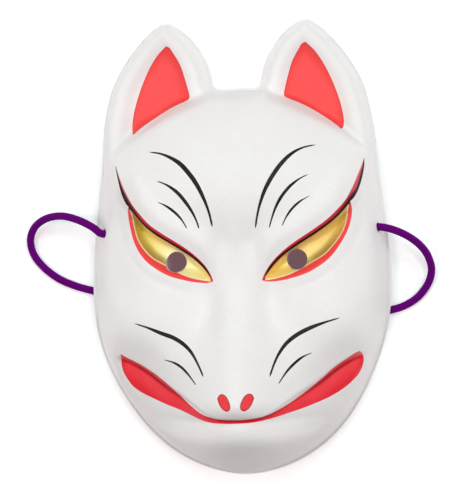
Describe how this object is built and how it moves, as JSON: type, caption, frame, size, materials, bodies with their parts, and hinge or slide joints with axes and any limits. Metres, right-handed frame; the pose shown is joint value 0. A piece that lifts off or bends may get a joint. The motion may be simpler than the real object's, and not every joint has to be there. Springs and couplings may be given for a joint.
{
  "type": "fox mask",
  "caption": "Moulded fox face mask with upright ears, a raised muzzle, see-through pupils and a loose cord knotted through its sides, lying face up on its rim.",
  "frame": {"origin": "centre of the shell's outline, in the plane that the rim rests on", "axes": "+Z straight out of the face, +Y up the face towards the ears, +X to the right of someone who looks at the face"},
  "size_m": [0.2246, 0.2499, 0.0762],
  "materials": {
    "shell": "satin white paint with red, gold and black painted features",
    "cord": "braided round elastic cord"
  },
  "bodies": {
    "root": {"mask_shell": "shell", "cord": "cord", "cord_knot_left": "cord", "cord_knot_right": "cord"}
  },
  "joints": []
}
